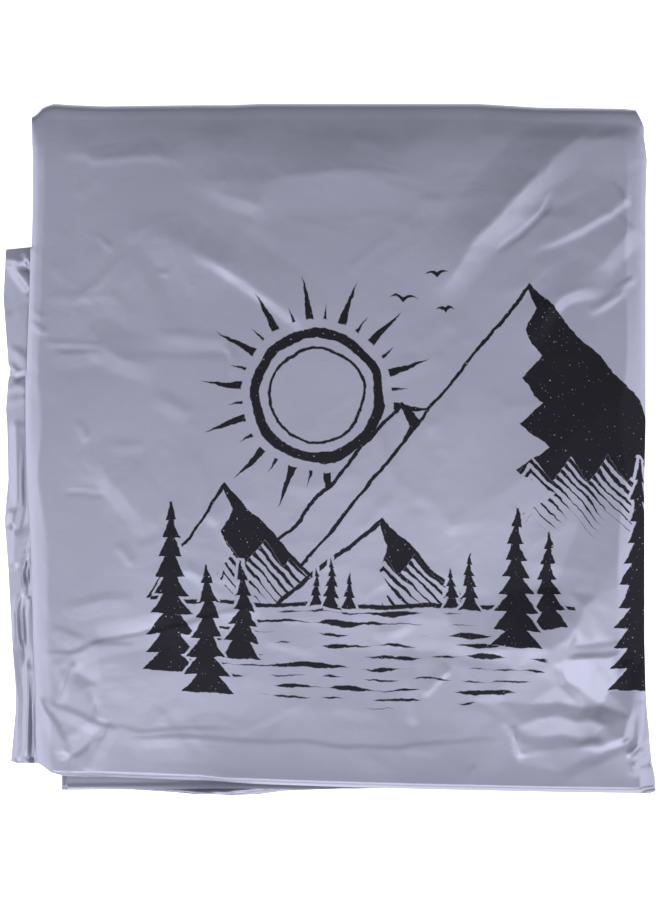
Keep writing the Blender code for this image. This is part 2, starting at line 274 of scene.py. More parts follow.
# Creases of the free ends, in the same columns.
FREE_CREASES = (
    (12, 5, 2, 1.0, ((6, 262, 1.5), (31, 262, 2.2))),
    (10, 7, 3, 1.0, ((14, 266, 0.6), (22, 276, 1.8), (31, 287, 1.8))),
    (4, 4, 3, 1.0, ((23, 258, -0.8), (29, 270, -1.2))),
    (5, 8, 5, 1.0, ((12, 311, -0.3), (30, 302, -0.5))),
    (6, 12, 4, 1.0, ((12, 350, 0.4), (20, 353, 0.8), (29, 361, 0.5))),
    (4, 5, 3, 1.0, ((11, 364, 0.3), (17, 371, 0.8), (24, 374, 0.5))),
    (4, 4, 3, 1.0, ((18, 378, -1.2), (25, 375, -1.8))),
    (5, 5, 4, 1.0, ((10, 390, 0.6), (20, 386, 0.9), (29, 388, 0.5))),
    (4, 6, 4, 1.0, ((9, 402, 0.4), (28, 398, 0.6))),
    (10, 6, 8, 1.0, ((17, 428, 1.0), (18, 470, 2.2), (18, 500, 2.4), (13, 522, 1.8))),
    (6, 6, 8, 1.0, ((26, 436, -0.6), (26, 470, -1.8), (27, 503, -2.0), (24, 524, -0.6))),
    (8, 8, 8, 1.0, ((13, 515, 1.4), (16, 536, 2.4), (15, 562, 1.4))),
    (3, 3, 5, 1.0, ((31, 526, -1.0), (27, 548, -1.8), (22, 566, -0.6))),
    (4, 4, 5, 1.0, ((31, 552, -1.4), (28, 574, -6.0), (30, 594, -1.6))),
    (5, 5, 6, 1.0, ((26, 592, -0.8), (22, 612, -4.5), (24, 638, -5.0), (28, 662, -1.0))),
    (3, 3, 8, 1.0, ((30, 604, 0.6), (28, 650, 1.4), (29, 700, 2.0), (26, 748, 1.0))),
    (4, 4, 6, 1.0, ((34, 676, -0.6), (34, 705, -2.2), (34, 730, -5.5), (33, 756, -4.5))),
    (3, 5, 8, 1.0, ((19, 600, 0.4), (15, 650, 1.2), (20, 700, 1.8), (19, 756, 1.4))),
)
# The free ends sink over their width. Their creases start a little inside the left fold.
FREE_DROP = 3.2 * MM
FREE_WIDTH = 22.0 * MM
FREE_CREASE_START = 3.0 * MM
FREE_CREASE_FADE = 4.0 * MM

# Loose unevenness of the film: small creases strewn over the plan, in the same units. They run at one of the
# angles, give or take a spread, and sink towards one end to a share of their height.
LOOSE_CREASES = 170
LOOSE_SEED = 11
LOOSE_X = (45, 620)
LOOSE_Y = (125, 770)
LOOSE_ANGLES = (0.0, 0.0, 0.6, -0.7, 1.4)
LOOSE_ANGLE_SPREAD = 0.5
LOOSE_LENGTH = (12, 60)
LOOSE_HEIGHT = (0.08, 0.32)
LOOSE_FLANKS = (6, 22)
LOOSE_FADE = 10
LOOSE_SHARPNESS = 1.1
LOOSE_END_SHARE = (0.2, 1.0)

# The hem of the top layer curls up a little: by a small share of this height at the left end, and by all of
# it past the stretch of x given last.
HEM_CURL = 5.0 * MM
HEM_CURL_WIDTH = 60.0 * MM
HEM_CURL_LEAST = 0.2
HEM_CURL_CHANGE = (-150.0 * MM, -60.0 * MM)

# The lower packet's hem curls up where it shows below the upper one, with puckers. In a deep stretch its
# layers are drawn in, all but the lowest, which curls up more. The stretch is given by the places in x where
# it starts, is full, begins to fade and ends. Of two values, the second is that of the deep stretch.
LOWER_CURL = (2.4 * MM, 10.0 * MM)
LOWER_CURL_WIDTH = (13.0 * MM, 12.0 * MM)
LOWER_CURL_POWER = (1.3, 1.2)
LOWER_RIM = 2.2 * MM
LOWER_DEEP_SPAN = (-126.0 * MM, -104.0 * MM, -56.0 * MM, -34.0 * MM)
LOWER_DRAWN = 24.0 * MM
PUCKER = 0.8 * MM
PUCKER_PITCH = 6.5 * MM
PUCKER_WANDER = 9.0 * MM

# The film and its ink.
FILM_COLOURS = ((0.290, 0.295, 0.395, 1.0), (0.325, 0.330, 0.425, 1.0))
FILM_ROUGHNESS = 0.32
FILM_ROUGHNESS_SPREAD = 0.14
FILM_METALLIC = 0.5
SPECULAR = 0.25
INK_COLOUR = (0.006, 0.006, 0.011, 1.0)
INK_ROUGHNESS = 0.42
CLOUD_SIZE = 70.0 * MM
CRINKLE = 0.2 * MM
CRINKLE_SIZE = 34.0 * MM
GRAIN = 0.012 * MM
GRAIN_SIZE = 2.4 * MM

# The print, a landscape in black, on the plan. Its edges are shaken twice: size, amount and seed of a noise.
PRINT_SHAKES = ((42.0, 11.0, 1.0), (6.0, 2.6, 2.0))
PRINT_EDGE = 1.2
FLECK_SIZE = 2.2
FLECK_LEVEL = 0.74
FLECK_SEED = 9.0
SUN_PLACE = (318.0, 396.0)
SUN_RINGS = ((62.0, 10.0), (47.0, 3.0))
SUN_RAYS = 28
SUN_RAY_START = 76.0
SUN_RAY_END = 105.0
SUN_RAY_SPREAD = 26.0
SUN_RAY_TAPER = 0.11
# Birds: x, y and half the span.
BIRDS = ((404.0, 300.0, 15.0), (436.0, 276.0, 12.0), (446.0, 312.0, 10.0))
BIRD_STROKE = 2.6
BIRD_WING_SLOPE = 1.1
# Mountains from far to near: x and y of the top, slopes of the left and right skyline, height of the dark
# side. That side has a ragged crest and foot, with strokes below it.
PEAKS = (
    (402.0, 402.0, 1.15, 1.05, 84.0),
    (530.0, 282.0, 1.25, 1.05, 168.0),
    (226.0, 486.0, 1.50, 1.10, 56.0),
    (382.0, 520.0, 0.80, 0.95, 30.0),
)
SKYLINE = 5.5
CREST_PITCH = 46.0
CREST_SHIFT = 0.4
CREST_BITE = (0.16, 6.0)
FOOT_PITCH = 38.0
FOOT_BITE = 26.0
STROKE_PITCH = 10.5
STROKE_HALF = 3.2
STROKE_TAPER = 0.055
# Pines from far to near: x, y of the foot, height, half width and tiers.
PINES = (
    (316.0, 606.0, 36.0, 8.0, 4),
    (332.0, 608.0, 50.0, 10.0, 5),
    (349.0, 606.0, 32.0, 8.0, 3),
    (452.0, 606.0, 40.0, 9.0, 4),
    (470.0, 608.0, 58.0, 11.0, 5),
    (244.0, 660.0, 96.0, 20.0, 6),
    (172.0, 676.0, 172.0, 31.0, 9),
    (208.0, 696.0, 128.0, 27.0, 7),
    (548.0, 622.0, 96.0, 20.0, 6),
    (516.0, 642.0, 138.0, 28.0, 8),
    (640.0, 684.0, 232.0, 34.0, 11),
)
PINE_EDGE = 3.0
PINE_BOUGH = 0.55
PINE_TIP = 0.08
PINE_SLOPE = 0.9
SHORE_Y = 604.0
SHORE_ENDS = (150.0, 574.0)
SHORE_HALF = 2.0
# The lake, a lens: x and y of its middle, half its length and half its depth. Its water is rows of strokes.
LAKE = (368.0, 656.0, 178.0, 52.0)
WATER_PITCH = 11.0
WATER_LENGTH = 46.0
WATER_SEED = 5.0
WATER_ROW_SHIFT = 31.0
WATER_LEVEL = 0.47
WATER_STROKE = 14.0
# How sharply a shape without a size of its own is cut off.
CUT = 20.0

LIGHT_DISTANCE = 2.6
# Softboxes: name, degrees around from the right, degrees above the floor, size in metres, power in watts.
LIGHTS = (
    ("overhead", 270, 90, 1.8, 7.2),
    ("hem side high", 270, 61, 1.4, 18.0),
    ("lower left high", 225, 58, 1.4, 8.5),
    ("lower right high", 315, 58, 1.4, 8.0),
    ("right side high", 0, 48, 1.4, 14.0),
    ("left side high", 180, 48, 1.4, 17.0),
    ("left side low", 180, 15, 1.4, 18.0),
    ("hem side low", 270, 30, 1.4, 16.0),
    ("right side low", 0, 20, 1.4, 14.0),
    ("back low", 90, 15, 1.4, 5.0),
)
WORLD_LIGHT = 0.02
FLOOR_SIZE = 30.0
FLOOR_DROP = 0.4 * MM
FLOOR_GREY = 0.9
FLOOR_ROUGHNESS = 0.9
FLOOR_GLOW = 1.0
CAMERA_HEIGHT = 4.0
CAMERA_SENSOR = 36.0
PICTURE_HEIGHT = 900


def plan(x, y):
    """Place in metres of a point of the plan."""
    return (x - PLAN_CENTRE[0]) * PLAN_STEP, (PLAN_CENTRE[1] - y) * PLAN_STEP


def smooth(t):
    """Ease from 0 to 1 for t from 0 to 1."""
    t = np.clip(t, 0.0, 1.0)
    return t * t * (3 - 2 * t)


def between(values, share):
    """From the first value, at 0, to the second, at 1."""
    return values[0] + (values[1] - values[0]) * share


def look_up(rows, at, column):
    """Read one column of a table, in metres, at places in its first column."""
    order = np.argsort(rows[:, 0])
    return np.interp(at / MM, rows[order, 0], rows[order, column]) * MM


def crease_lift(rows, x, y):
    """Height of a table of creases, in metres, at many places in metres."""
    lift = np.zeros_like(x)
    for left, right, fade, sharp, points in rows:
        crest = np.zeros_like(x)
        for index, ends in enumerate(zip(points, points[1:])):
            part = crease_part(x, y, ends, left, right, fade, sharp, index == 0, index == len(points) - 2)
            crest = np.where(np.abs(part) > np.abs(crest), part, crest)
        lift += crest
    return lift * MM


def crease_part(x, y, ends, left, right, fade, sharp, is_first, is_last):
    """Height of one straight part of a crease, in millimetres."""
    (x0, y0, start), (x1, y1, end) = ends
    ax, ay = plan(x0, y0)
    bx, by = plan(x1, y1)
    length = math.hypot(bx - ax, by - ay)
    ux, uy = (bx - ax) / length, (by - ay) / length
    along = (x - ax) * ux + (y - ay) * uy
    across = (x - ax) * uy - (y - ay) * ux
    flank = np.where(across > 0, right, left) * PLAN_STEP
    joint = min(left, right)
    before = np.maximum(-along, 0.0) / ((fade if is_first else joint) * PLAN_STEP)
    after = np.maximum(along - length, 0.0) / ((fade if is_last else joint) * PLAN_STEP)
    share = np.clip(1 - np.hypot(np.abs(across) / flank, before + after), 0.0, 1.0)
    height = start + (end - start) * np.clip(along / length, 0.0, 1.0)
    return height * share ** sharp


def crumple_facets():
    """Triangles between the lines of the crumple: places in metres and heights in millimetres."""
    points = sorted({point for line in CRUMPLE for point in line})
    places = [Vector(plan(x, y)) for x, y, _ in points]
    parts = [ends for line in CRUMPLE for ends in zip(line, line[1:])]
    edges = [(points.index(start), points.index(end)) for start, end in parts]
    corners, _, faces, origins, _, _ = delaunay_2d_cdt(places, edges, [], 0, 1e-6)
    heights = [points[origin[0]][2] for origin in origins]
    return [[(corners[i][0], corners[i][1], heights[i]) for i in face] for face in faces]


def crumple_lift(x, y):
    """Height of the crumple, in metres, with its edges softened a little."""
    lift = np.zeros_like(x)
    facets = crumple_facets()
    shifts = ((0, 0), (1, 0), (-1, 0), (0, 1), (0, -1))
    for dx, dy in shifts:
        lift += facet_height(facets, x + dx * CRUMPLE_SOFTNESS, y + dy * CRUMPLE_SOFTNESS) / len(shifts)
    return lift * MM


def facet_height(facets, x, y):
    """Height on flat facets, in millimetres, and 0 beside them."""
    height = np.zeros_like(x)
    for (ax, ay, az), (bx, by, bz), (cx, cy, cz) in facets:
        area = (bx - ax) * (cy - ay) - (cx - ax) * (by - ay)
        share_b = ((x - ax) * (cy - ay) - (cx - ax) * (y - ay)) / area
        share_c = ((bx - ax) * (y - ay) - (x - ax) * (by - ay)) / area
        share_a = 1 - share_b - share_c
        inside = (share_a >= 0) & (share_b >= 0) & (share_c >= 0)
        height = np.where(inside, share_a * az + share_b * bz + share_c * cz, height)
    return height


def loose_creases():
    """Rows of small creases, strewn over the plan."""
    chance = np.random.default_rng(LOOSE_SEED)
    rows = []
    for _ in range(LOOSE_CREASES):
        x, y = chance.uniform(*LOOSE_X), chance.uniform(*LOOSE_Y)
        angle = chance.normal(0.0, LOOSE_ANGLE_SPREAD) + chance.choice(LOOSE_ANGLES)
        length = chance.uniform(*LOOSE_LENGTH)
        height = chance.uniform(*LOOSE_HEIGHT)
        left, right = chance.uniform(*LOOSE_FLANKS, 2)
        end_height = height * chance.uniform(*LOOSE_END_SHARE)
        end = (x + length * math.cos(angle), y + length * math.sin(angle), end_height)
        rows.append((left, right, LOOSE_FADE, LOOSE_SHARPNESS, ((x, y, height), end)))
    return rows


def warp(x, y, size, amount, level):
    """Places moved a little by a smooth noise, read at one level, which makes straight creases uneven."""
    noise.seed_set(NOISE_SEED)
    flat_x, flat_y = x.ravel(), y.ravel()
    moved = np.empty((flat_x.size, 2))
    for i, (px, py) in enumerate(zip(flat_x, flat_y)):
        shift = noise.noise_vector((px / size, py / size, level))
        moved[i] = shift[0], shift[1]
    moved = moved.reshape(x.shape + (2,)) * amount
    return x + moved[..., 0], y + moved[..., 1]


def swell_lift(x, y):
    """Height of the air under the top layer, which fades out towards the rim."""
    left = smooth((x - look_up(SECTIONS, y, LEFT_FOLD)) / SWELL_SIDE_RIM)
    right = smooth((look_up(SECTIONS, y, RIGHT_FOLD) - x) / SWELL_SIDE_RIM)
    from_top = look_up(EDGES, x, TOP_FOLD) - y
    top = np.sin(np.clip(from_top / SWELL_TOP_RIM, 0.0, 1.0) * math.pi / 2)
    share = smooth((x - SWELL_HEM_CHANGE[0]) / (SWELL_HEM_CHANGE[1] - SWELL_HEM_CHANGE[0]))
    from_hem = y - look_up(EDGES, x, UPPER_HEM) - between(SWELL_HEM_FLAT, share)
    return SWELL * left * right * top * smooth(from_hem / between(SWELL_HEM_RIM, share))


def roll_lift(x, y):
    """Height by which the top layer stands above its rolled rims, with its hem curled up a little."""
    uneven = 1 + ROLL_UNEVEN * np.sin(y / ROLL_WAVES[0] + ROLL_WAVE_SHIFT * np.sin(y / ROLL_WAVES[1]))
    from_left = (x - look_up(SECTIONS, y, LEFT_FOLD)) / (ROLL_WIDTH["left"] * uneven)
    left = np.clip(from_left, 0.0, 1.0) ** ROLL_LEFT_POWER
    from_right = (look_up(SECTIONS, y, RIGHT_FOLD) - x) / (ROLL_WIDTH["right"] * uneven)
    right = 1 - ROLL_RIGHT * np.clip(1 - from_right, 0.0, 1.0)
    from_top = look_up(EDGES, x, TOP_FOLD) - TOP_FOLD_REACH - y
    top = np.sin(np.clip(from_top / ROLL_WIDTH["top"], 0.0, 1.0) * math.pi / 2)
    height = ROLL * (1 - ROLL_FADE * smooth(y / ROLL_FADE_Y))
    from_hem = y - look_up(EDGES, x, UPPER_HEM)
    return (height * left * right * top + hem_curl(x, from_hem)) * smooth(from_hem / ROLL_WIDTH["hem"])


def hem_curl(x, from_hem):
    """Height by which the top layer's hem curls up."""
    change = smooth((x - HEM_CURL_CHANGE[0]) / (HEM_CURL_CHANGE[1] - HEM_CURL_CHANGE[0]))
    share = between((HEM_CURL_LEAST, 1.0), change)
    return HEM_CURL * share * np.clip(1 - from_hem / HEM_CURL_WIDTH, 0.0, 1.0) ** 2


def deep_share(x):
    """How much of the deep stretch, where the layers under the top hem are drawn in, is at a place."""
    start, full, fall, end = LOWER_DEEP_SPAN
    return smooth((x - start) / (full - start)) * smooth((end - x) / (end - fall))


def lower_curl(x, from_hem):
    """Height of the lower packet's curled and puckered hem, which shows below the top hem on the left."""
    deep = deep_share(x)
    shown = smooth((LOWER_DEEP_SPAN[3] - x) / (LOWER_DEEP_SPAN[3] - LOWER_DEEP_SPAN[2]))
    from_rim = (from_hem - LOWER_RIM) / (between(LOWER_CURL_WIDTH, deep) - LOWER_RIM)
    inner = np.clip(1 - from_rim, 0.0, 1.0) ** between(LOWER_CURL_POWER, deep)
    pucker = PUCKER * np.sin(2 * math.pi * x / PUCKER_PITCH + 2.0 * np.sin(x / PUCKER_WANDER))
    height = between(LOWER_CURL, deep) + pucker * (1 - deep)
    return shown * smooth(from_hem / LOWER_RIM) * inner * height


def hem_line(x, level, is_lower):
    """Where a layer's hem lies: in the deep stretch only the lowest layer reaches all the way."""
    drawn = LOWER_DRAWN * deep_share(x) * np.clip((PACKET_LAYERS - 1 - level) / 0.5, 0.0, 1.0)
    return np.where(is_lower, look_up(EDGES, x, LOWER_HEM) + drawn, look_up(EDGES, x, UPPER_HEM))


def top_layer_lift(x, y, top):
    """Height of the top layer's creases and rims."""
    wx, wy = x, y
    for size, amount, level in CREASE_WARPS:
        wx, wy = warp(wx, wy, size, amount, level)
    creases = crease_lift(CREASES, wx, wy) + crease_lift(loose_creases(), wx, wy) + crumple_lift(wx, wy)
    return creases * smooth((top - y) / CREASE_FADE) + roll_lift(x, y)


def free_lift(x, y):
    """Height of the free ends' creases, less how far the ends sink."""
    outside = look_up(SECTIONS, y, LEFT_FOLD) - x
    creased = smooth((outside + FREE_CREASE_START) / FREE_CREASE_FADE)
    return creased * crease_lift(FREE_CREASES, x, y) - FREE_DROP * np.clip(outside / FREE_WIDTH, 0.0, 1.0)


def side_x(side, y, is_lower):
    """Where a layer reaches on one side of the packet."""
    if side == "right":
        return look_up(SECTIONS, y, RIGHT_FOLD)
    x = look_up(SECTIONS, y, FREE_ENDS if side == "free" else LEFT_FOLD)
    inset = LOWER_FREE_INSET if side == "free" else 0.0
    bottom, top = LOWER_CORNER
    drawn_in = smooth((top - y) / (top - bottom))
    lower = np.maximum(x + inset, x + inset + (LOWER_CORNER_X - x - inset) * drawn_in)
    return np.where(is_lower, lower, x)


def inward(side, level):
    """How far a flat run stops short of a side, where a fold takes over."""
    if side == "free":
        return (1 - level) * FREE_STAGGER
    return -FOLD_DEPTH["right"] if side == "right" else FOLD_DEPTH["left"]


def fold_round(angle):
    """Cosine and sine on the way round a fold, which is squarer than half a circle."""
    cosine, sine = np.cos(angle), np.sin(angle)
    return np.abs(cosine) ** FOLD_POWER, np.sign(sine) * np.abs(sine) ** FOLD_POWER


def section_points(run, t, y, is_lower):
    """Places in the packet's cross-section: x, and the level counted in layers."""
    form, start, end, start_level, end_level, _ = run
    if form == "flat":
        x_start = side_x(start, y, is_lower) + inward(start, start_level)
        x_end = side_x(end, y, is_lower) + inward(end, end_level)
        return x_start + (x_end - x_start) * t, np.full(np.broadcast(t, y).shape, float(start_level))
    reach = (abs(end_level - start_level) - 1) / 2
    nested = (PACKET_LAYERS / 2 - 1 - reach) * PITCH if start == "right" else 0.0
    sign = 1 if start == "right" else -1
    centre = side_x(start, y, is_lower) - sign * FOLD_DEPTH[start]
    out, up = fold_round(math.pi * (t - 0.5))
    level = (start_level + end_level) / 2 + (end_level - start_level) / 2 * up
    x = centre + sign * (FOLD_DEPTH[start] - nested) * out
    return x, np.broadcast_to(level, x.shape)


def spread(stretches):
    """Places over stretches of the way, without the first one."""
    return np.concatenate([np.linspace(start, end, steps + 1)[1:] for start, end, steps in stretches])


def row_places():
    """Rows across the sheet: which part each is in, and its share of the way."""
    lower = np.concatenate(([0.0], spread(LOWER_ROWS)[:-1]))
    fold = np.linspace(0, 1, FOLD_STEPS + 1)
    upper = spread(UPPER_ROWS)
    part = np.repeat((LOWER_PART, FOLD_PART, UPPER_PART), (lower.size, fold.size, upper.size))
    return part[:, None], np.concatenate((lower, fold, upper))[:, None]


def run_points(run, part, along):
    """Places of every point of one run of the sheet."""
    t = np.linspace(0, 1, run[5] + 1)[None, :]
    in_fold = part == FOLD_PART
    is_lower = (part == LOWER_PART) | (in_fold & (along < 0.5))
    nominal_x, nominal_level = section_points(run, t, np.zeros((1, 1)), np.zeros((1, 1), bool))
    top = look_up(EDGES, nominal_x, TOP_FOLD) - TOP_FOLD_REACH
    hem = hem_line(nominal_x, nominal_level, is_lower)
    y_flat = np.where(in_fold, top, hem + (top - hem) * along)
    x, level = section_points(run, t, y_flat, is_lower)
    angle = np.where(in_fold, math.pi * (along - 0.5), np.where(is_lower, -math.pi / 2, math.pi / 2))
    out, up = fold_round(angle)
    y = y_flat + np.where(in_fold, (TOP_FOLD_DEPTH + level * PITCH) * out, 0.0)
    z = MIDDLE_Z + (level + 0.5) * PITCH * up
    height = np.where(is_lower, PACKET_LAYERS - 1 - level, PACKET_LAYERS + level)
    z = z + swell_lift(x, y) * height / (2 * PACKET_LAYERS - 1)
    z = z + (part == LOWER_PART) * lower_curl(x, y - look_up(EDGES, x, LOWER_HEM))
    if PACKET_LAYERS - 1 in run[3:5]:
        z = z + (part == UPPER_PART) * smooth(level - 2) * top_layer_lift(x, y, top)
    if "free" in run[1:3]:
        z = z + height / (PACKET_LAYERS + 1) * free_lift(x, y)
    return np.stack((x, y, z), axis=-1)


def cover_sheet():
    """The whole cover as one thin sheet on its folds."""
    part, along = row_places()
    blocks = [run_points(run, part, along) for run in RUNS]
    points = np.concatenate([blocks[0]] + [block[:, 1:] for block in blocks[1:]], axis=1)
    rows, columns = points.shape[:2]
    corner = np.arange(rows * columns).reshape(rows, columns)
    faces = np.stack((corner[:-1, :-1], corner[:-1, 1:], corner[1:, 1:], corner[1:, :-1]), axis=-1)
    mesh = bpy.data.meshes.new("cover film")
    mesh.from_pydata(points.reshape(-1, 3).tolist(), [], faces.reshape(-1, 4).tolist())
    add_maps(mesh, points)
    mesh.shade_smooth()
    sheet = bpy.data.objects.new("cover_film", mesh)
    bpy.context.scene.collection.objects.link(sheet)
    return sheet


def add_maps(mesh, points):
    """Two maps of the sheet: an even one that favours the top layer, and one in metres, for the print."""
    weight_u = np.concatenate([np.full(run[5], 1.0 if run[3] == run[4] == 3 else 0.3) for run in RUNS])
    weight_v = np.where(row_places()[0][1:, 0] == UPPER_PART, 1.0, 0.4)
    even_u, even_v = np.broadcast_arrays(even_share(weight_u)[None, :], even_share(weight_v)[:, None])
    loops = np.empty(len(mesh.loops), dtype=np.int32)
    mesh.loops.foreach_get("vertex_index", loops)
    for name, u, v in (("OFBake", even_u, even_v), ("Print", *print_places(points))):
        layer = mesh.uv_layers.new(name=name)
        flat = np.stack((u.ravel()[loops], v.ravel()[loops]), axis=-1)
        layer.data.foreach_set("uv", flat.astype(np.float32).ravel())


def print_places(points):
    """Places of the film as if the top layer went on flat past its folds. The lower packet lies far above."""
    steps = np.linalg.norm(np.diff(points, axis=1), axis=-1)
    across = np.concatenate((np.zeros((len(points), 1)), np.cumsum(steps, axis=1)), axis=1)
    before_top = sum(run[5] for run in RUNS[:3])
    middle = before_top + RUNS[3][5] // 2
    u = points[:, middle, 0][:, None] + across[:, middle][:, None] - across
    v = np.where(row_places()[0] == UPPER_PART, points[:, middle, 1][:, None], 1.0)
    return u, np.broadcast_to(v, u.shape)


def even_share(weights):
    """Running sum of the weights, from 0 to 1."""
    total = np.concatenate(([0.0], np.cumsum(weights)))
    return total / total[-1]


class Field:
    """A number that varies over a surface, worked out by shader nodes."""

    def __init__(self, tree, socket):
        self.tree = tree
        self.socket = socket

    def __add__(self, other):
        return calc("ADD", self, other)

    def __sub__(self, other):
        return calc("SUBTRACT", self, other)

    def __rsub__(self, other):
        return calc("SUBTRACT", other, self)

    def __mul__(self, other):
        return calc("MULTIPLY", self, other)

    def __truediv__(self, other):
        return calc("DIVIDE", self, other)

    def __neg__(self):
        return calc("MULTIPLY", self, -1.0)

    def __abs__(self):
        return calc("ABSOLUTE", self)


def calc(operation, *values, clamp=False):
    """One math node on fields and numbers."""
    tree = next(value.tree for value in values if isinstance(value, Field))
    node = tree.nodes.new("ShaderNodeMath")
    node.operation = operation
    node.use_clamp = clamp
    for socket, value in zip(node.inputs, values):
        if isinstance(value, Field):
            tree.links.new(value.socket, socket)
        else:
            socket.default_value = value
    return Field(tree, node.outputs[0])


def both(*fields):
    """The part that shapes have in common. A shape's field is below 0 inside and above 0 outside."""
    shape = fields[0]
    for field in fields[1:]:
        shape = calc("MAXIMUM", shape, field)
    return shape


def either(*fields):
    """The shapes together."""
    shape = fields[0]
    for field in fields[1:]:
        shape = calc("MINIMUM", shape, field)
    return shape


def zigzag(field, pitch):
    """A line that goes up and down between 0 and 1."""
    return calc("PINGPONG", field / (pitch / 2), 1.0)


def noise_fields(x, y, size, seed, detail=1.0):
    """Two uneven fields around 0.5 at places given in steps of the plan."""
    tree = x.tree
    place = tree.nodes.new("ShaderNodeCombineXYZ")
    tree.links.new((x / size).socket, place.inputs[0])
    tree.links.new((y / size).socket, place.inputs[1])
    place.inputs[2].default_value = seed
    texture = tree.nodes.new("ShaderNodeTexNoise")
    texture.inputs["Scale"].default_value = 1.0
    texture.inputs["Detail"].default_value = detail
    tree.links.new(place.outputs[0], texture.inputs["Vector"])
    parts = tree.nodes.new("ShaderNodeSeparateColor")
    tree.links.new(texture.outputs["Color"], parts.inputs[0])
    return Field(tree, parts.outputs[0]), Field(tree, parts.outputs[1])


def shaken(x, y, size, amount, seed):
    """Places moved a little by a noise, which makes drawn edges uneven."""
    dx, dy = noise_fields(x, y, size, seed)
    return x + (dx - 0.5) * amount, y + (dy - 0.5) * amount


def draw_sun(x, y):
    """Two rings with long and short rays."""
    beside, below = x - SUN_PLACE[0], y - SUN_PLACE[1]
    reach = calc("SQRT", beside * beside + below * below)
    rings = [abs(reach - radius) - width / 2 for radius, width in SUN_RINGS]
    turn = calc("ARCTAN2", below, beside) * (SUN_RAYS / (2 * math.pi))
    aside = abs(calc("FRACT", turn) - 0.5) * reach * (2 * math.pi / SUN_RAYS)
    end = calc("SINE", turn * math.pi) * (SUN_RAY_SPREAD / 2) + SUN_RAY_END
    rays = both(aside - (end - reach) * SUN_RAY_TAPER, SUN_RAY_START - reach, reach - end)
    return either(rays, *rings)


def draw_bird(ink, x, y, place):
    """Two bent strokes."""
    bird_x, bird_y, span = place
    beside = abs(x - bird_x)
    share = beside / span
    wing = abs(y - bird_y + beside * (BIRD_WING_SLOPE - share)) - (1.0 - share) * BIRD_STROKE
    return either(ink, both(wing, beside - span))


def draw_peak(ink, x, y, row):
    """A mountain over what is behind it: skyline, dark side with a ragged foot, and strokes below that."""
    apex_x, apex_y, left, right, shade = row
    beside, below = x - apex_x, y - apex_y
    depth = below - calc("MAXIMUM", beside * -left, beside * right)
    crest = (zigzag(below, CREST_PITCH) - CREST_SHIFT) * (below * CREST_BITE[0] + CREST_BITE[1])
    foot = below - shade - zigzag(x, FOOT_PITCH) * FOOT_BITE
    flank = both(crest - beside, -depth)
    dark = both(flank, foot)
    aside = abs(calc("FRACT", depth / STROKE_PITCH) - 0.5) * STROKE_PITCH
    strokes = both(flank, -foot, aside - (STROKE_HALF - foot * STROKE_TAPER))
    return either(both(ink, depth), abs(depth) - SKYLINE / 2, dark, strokes)


def draw_pine(ink, x, y, row):
    """A pine with tiers of boughs, set off by a light edge from what is behind it."""
    pine_x, foot_y, height, half, tiers = row
    down = (y - (foot_y - height)) / height
    bough = calc("FRACT", down * tiers) * PINE_BOUGH + (1.0 - PINE_BOUGH)
    aside = abs(x - pine_x) - (down * PINE_SLOPE + PINE_TIP) * bough * half
    shape = both(aside, abs(down - 0.5) * height - height / 2)
    return either(both(ink, PINE_EDGE - shape), shape)


def draw_lake(ink, x, y):
    """Shore line, and water as rows of tapering strokes in a lens."""
    shore = both(abs(y - SHORE_Y) - SHORE_HALF, x - SHORE_ENDS[1], SHORE_ENDS[0] - x)
    row = calc("FLOOR", y / WATER_PITCH)
    swell, _ = noise_fields(x, row * WATER_ROW_SHIFT, WATER_LENGTH, WATER_SEED)
    aside = abs(calc("FRACT", y / WATER_PITCH) - 0.5) * WATER_PITCH
    stroke = aside - (swell - WATER_LEVEL) * WATER_STROKE
    beside, below = (x - LAKE[0]) / LAKE[2], (y - LAKE[1]) / LAKE[3]
    lens = (beside * beside + below * below - 1.0) * CUT
    return either(either(both(ink, y - SHORE_Y), shore), both(stroke, lens))


def draw_print(tree):
    """Share of ink of a landscape drawn in rough black lines: sun, mountains, lake and pines."""
    place = tree.nodes.new("ShaderNodeUVMap")
    place.uv_map = "Print"
    parts = tree.nodes.new("ShaderNodeSeparateXYZ")
    tree.links.new(place.outputs[0], parts.inputs[0])
    x = Field(tree, parts.outputs[0]) / PLAN_STEP + PLAN_CENTRE[0]
    y = PLAN_CENTRE[1] - Field(tree, parts.outputs[1]) / PLAN_STEP
    for size, amount, seed in PRINT_SHAKES:
        x, y = shaken(x, y, size, amount, seed)
    ink = draw_sun(x, y)
    for row in BIRDS:
        ink = draw_bird(ink, x, y, row)
    for row in PEAKS:
        ink = draw_peak(ink, x, y, row)
    ink = draw_lake(ink, x, y)
    for row in PINES:
        ink = draw_pine(ink, x, y, row)
    fleck, _ = noise_fields(x, y, FLECK_SIZE, FLECK_SEED)
    ink = both(ink, (fleck - FLECK_LEVEL) * CUT)
    return calc("MULTIPLY_ADD", ink, -PRINT_EDGE, 0.5, clamp=True)


def texture_field(tree, kind, size, **settings):
    """A noise or Voronoi texture over the object, its features about the given size in metres."""
    place = tree.nodes.new("ShaderNodeTexCoord")
    texture = tree.nodes.new(kind)
    texture.inputs["Scale"].default_value = 1 / size
    for name, value in settings.items():
        texture.inputs[name].default_value = value
    tree.links.new(place.outputs["Object"], texture.inputs["Vector"])
    return Field(tree, texture.outputs[0])


